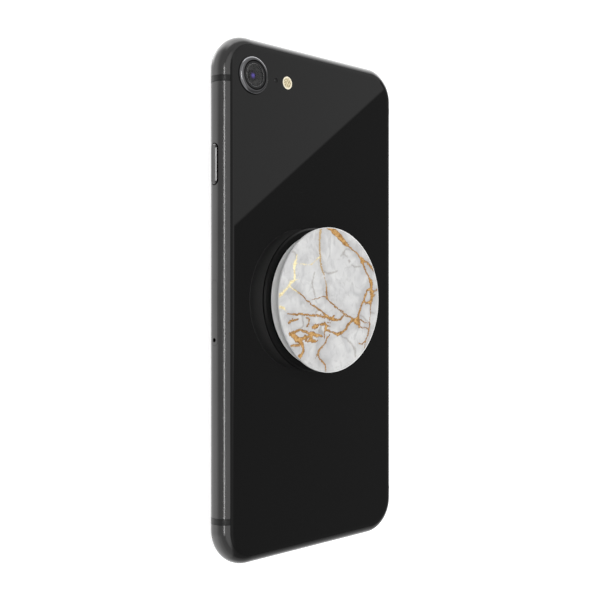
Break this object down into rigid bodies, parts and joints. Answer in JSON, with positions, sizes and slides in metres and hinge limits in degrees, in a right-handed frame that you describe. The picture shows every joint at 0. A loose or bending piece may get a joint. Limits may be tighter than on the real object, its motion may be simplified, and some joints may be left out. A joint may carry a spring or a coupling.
{
  "type": "smartphone",
  "caption": "Slab smartphone with glass front and back in a rounded metal band, side keys, one rear camera, and a round collapsible grip on its back.",
  "frame": {"origin": "under the middle of the phone, on the flat of the front glass; the phone lies on its screen, back up", "axes": "+Y along the phone towards the camera end, +X to the right when the back faces the viewer and +Y is up, +Z out of the back"},
  "size_m": [0.068, 0.1384, 0.013],
  "materials": {
    "band_aluminium": "dark grey anodised, fine satin",
    "antenna_plastic": "moulded insert, satin",
    "rear_glass": "polished glass over black paint, opaque",
    "cover_glass": "polished clear glass",
    "black_ink": "printed border",
    "display_black": "display, off",
    "steel": "pressed sheet",
    "dark_steel": "black oxide, satin",
    "camera_ring_metal": "turned and anodised, bright edge",
    "camera_glass": "polished, coated",
    "lens_glass": "coated lens",
    "black_plastic": "moulded",
    "flash_lens": "patterned lens",
    "led_phosphor": "phosphor",
    "adhesive": "foam tape",
    "copper": "enamelled wire",
    "ferrite": "sintered sheet",
    "gold_contact": "plated",
    "circuit_board": "solder mask",
    "battery_wrap": "foil wrap",
    "flex_film": "polyimide film",
    "mesh": "woven mesh",
    "sim_plastic": "card plastic",
    "mute_marker": "moulded, orange marker",
    "gasket_rubber": "soft seal",
    "grip_black": "moulded, satin",
    "grip_soft": "soft elastomer",
    "grip_white": "moulded, satin gloss",
    "grip_print": "marble and gold print under clear coat"
  },
  "bodies": {
    "phone_body": {"chassis": "band_aluminium", "frame_top_segment": "band_aluminium", "frame_bottom_segment": "band_aluminium", "antenna_breaks": "antenna_plastic", "rear_glass": "rear_glass", "rear_glass_adhesive": "adhesive", "coil_ferrite_shield": "ferrite", "charging_coil": "copper", "camera_ring": "camera_ring_metal", "camera_lens_cover": "camera_glass", "camera_module_housing": "dark_steel", "flash_window": "flash_lens", "flash_leds": "led_phosphor", "rear_microphone": "mesh", "cover_glass": "cover_glass", "front_bezel_mask": "black_ink", "display_panel": "display_black", "display_shield_plate": "steel", "display_gasket": "gasket_rubber", "home_button_ring": "camera_ring_metal", "home_button": "display_black", "earpiece_mesh": "mesh", "earpiece_speaker": "black_plastic", "front_camera_module": "black_plastic", "proximity_sensor": "black_plastic", "battery": "battery_wrap", "logic_board": "circuit_board", "board_shields": "steel", "internal_screws": "steel", "display_flex_cable": "flex_film", "sim_reader": "steel", "button_switches": "steel", "mute_switch_housing": "mute_marker", "haptic_motor_housing": "steel", "loudspeaker": "black_plastic", "charge_port_connector": "dark_steel", "charge_port_contacts": "gold_contact", "charge_port_flex": "flex_film", "bottom_microphones": "black_plastic", "grille_meshes": "mesh", "bottom_screws": "steel", "grip_adhesive_pad": "adhesive", "grip_platform": "grip_black", "grip_base_wall": "grip_soft", "grip_lower_fold": "grip_soft"},
    "power_button": {"power_button": "band_aluminium"},
    "volume_up_button": {"volume_up_button": "band_aluminium"},
    "volume_down_button": {"volume_down_button": "band_aluminium"},
    "mute_switch": {"mute_switch": "band_aluminium"},
    "sim_tray": {"sim_tray": "band_aluminium", "sim_card": "sim_plastic"},
    "camera_lens": {"camera_lens_barrel": "black_plastic", "camera_lens_elements": "lens_glass"},
    "haptic_mass": {"haptic_mass": "dark_steel"},
    "grip_middle": {"grip_middle_wall": "grip_soft", "grip_upper_fold": "grip_soft"},
    "grip_upper": {"grip_hub": "grip_soft"},
    "grip_top": {"grip_top_shell": "grip_white", "grip_top_insert": "grip_print"}
  },
  "joints": [
    {"name": "power_press", "type": "slide", "parent": "phone_body", "child": "power_button", "axis": [1, 0, 0], "range_m": [0, 0.0003], "stiffness_N_per_m": 1500},
    {"name": "volume_up_press", "type": "slide", "parent": "phone_body", "child": "volume_up_button", "axis": [-1, 0, 0], "range_m": [0, 0.0003], "stiffness_N_per_m": 1500},
    {"name": "volume_down_press", "type": "slide", "parent": "phone_body", "child": "volume_down_button", "axis": [-1, 0, 0], "range_m": [0, 0.0003], "stiffness_N_per_m": 1500},
    {"name": "mute_slide", "type": "slide", "parent": "phone_body", "child": "mute_switch", "axis": [0, 0, 1], "range_m": [0, 0.0011]},
    {"name": "sim_tray_slide", "type": "slide", "parent": "phone_body", "child": "sim_tray", "axis": [-1, 0, 0], "range_m": [0, 0.0175]},
    {"name": "camera_focus", "type": "slide", "parent": "phone_body", "child": "camera_lens", "axis": [0, 0, 1], "range_m": [0, 0.00025], "stiffness_N_per_m": 200},
    {"name": "haptic_travel", "type": "slide", "parent": "phone_body", "child": "haptic_mass", "axis": [1, 0, 0], "range_m": [-0.0008, 0.0008], "stiffness_N_per_m": 2500},
    {"name": "grip_lower_pop", "type": "slide", "parent": "phone_body", "child": "grip_middle", "axis": [0, 0, 1], "range_m": [0, 0.0072], "deforming": ["grip_lower_fold"]},
    {"name": "grip_upper_pop", "type": "slide", "parent": "grip_middle", "child": "grip_upper", "axis": [0, 0, 1], "range_m": [0, 0.0072], "deforming": ["grip_upper_fold"]},
    {"name": "grip_top_twist", "type": "hinge", "parent": "grip_upper", "child": "grip_top", "pos_m": [0, 0, 0.0119], "axis": [0, 0, 1], "range_deg": [0, 90]}
  ]
}
